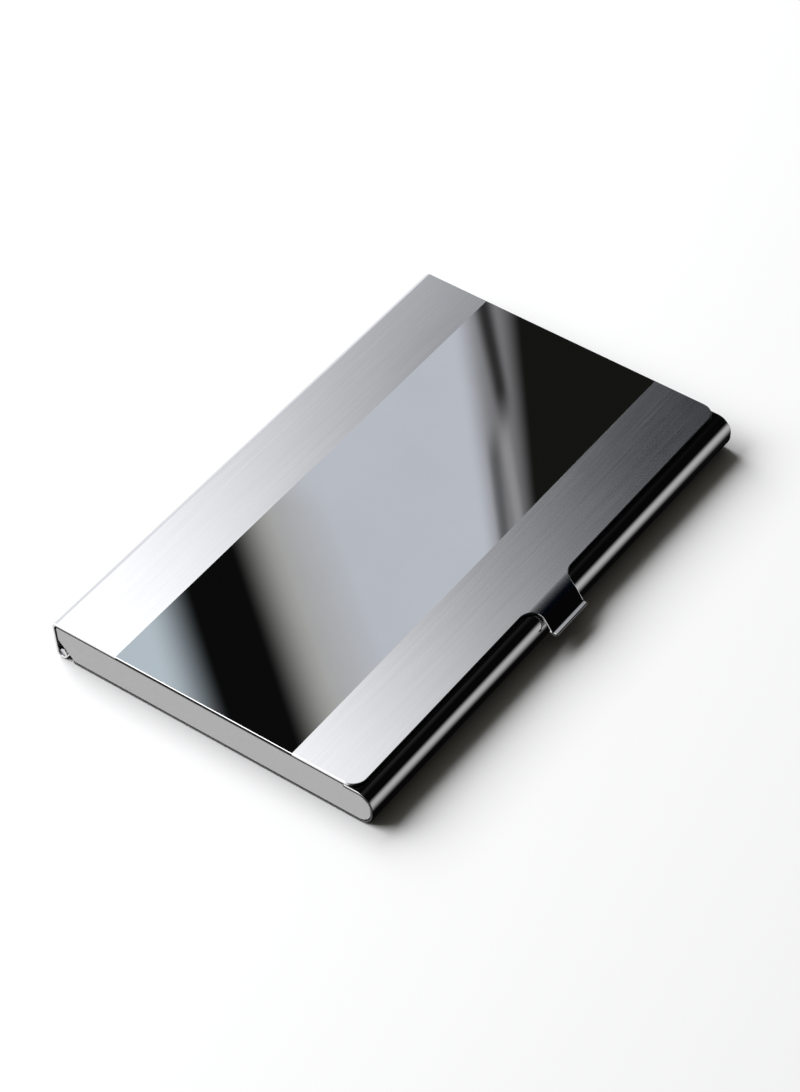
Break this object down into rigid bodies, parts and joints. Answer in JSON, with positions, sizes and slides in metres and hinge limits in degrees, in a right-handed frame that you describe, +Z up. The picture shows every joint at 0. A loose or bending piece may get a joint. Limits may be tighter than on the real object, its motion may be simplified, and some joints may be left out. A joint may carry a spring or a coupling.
{
  "type": "business card case",
  "caption": "Slim hinged steel case for business cards: folded base tray, wrap-over lid with a thumb tab, and a flap that lifts the cards as it opens.",
  "frame": {"origin": "middle of the underside: halfway along the case and halfway between the nose and the rear wall, on the face that it lies on", "axes": "+X along the case to the right as seen from the thumb tab, -Y towards the thumb tab, +Y towards the hinge, +Z up out of the lid"},
  "size_m": [0.093, 0.059, 0.0066],
  "materials": {
    "lid_steel": "two bands brushed lengthwise beside a mirror-polished middle band",
    "base_steel": "polished",
    "end_plate_satin": "fine matt satin",
    "pin_steel": "drawn wire, bright",
    "spring_steel": "rolled strip, satin",
    "rivet_steel": "satin"
  },
  "bodies": {
    "base": {"base_shell": "base_steel", "left_end_plate": "end_plate_satin", "right_end_plate": "end_plate_satin", "hinge_pin": "pin_steel", "snap_spring": "spring_steel", "spring_rivets": "rivet_steel"},
    "lid": {"lid_panel": "lid_steel", "card_lifter": "spring_steel"}
  },
  "joints": [
    {"name": "lid_hinge", "type": "hinge", "parent": "base", "child": "lid", "pos_m": [0, 0.027, 0.001], "axis": [-1, 0, 0], "range_deg": [0, 90]}
  ]
}
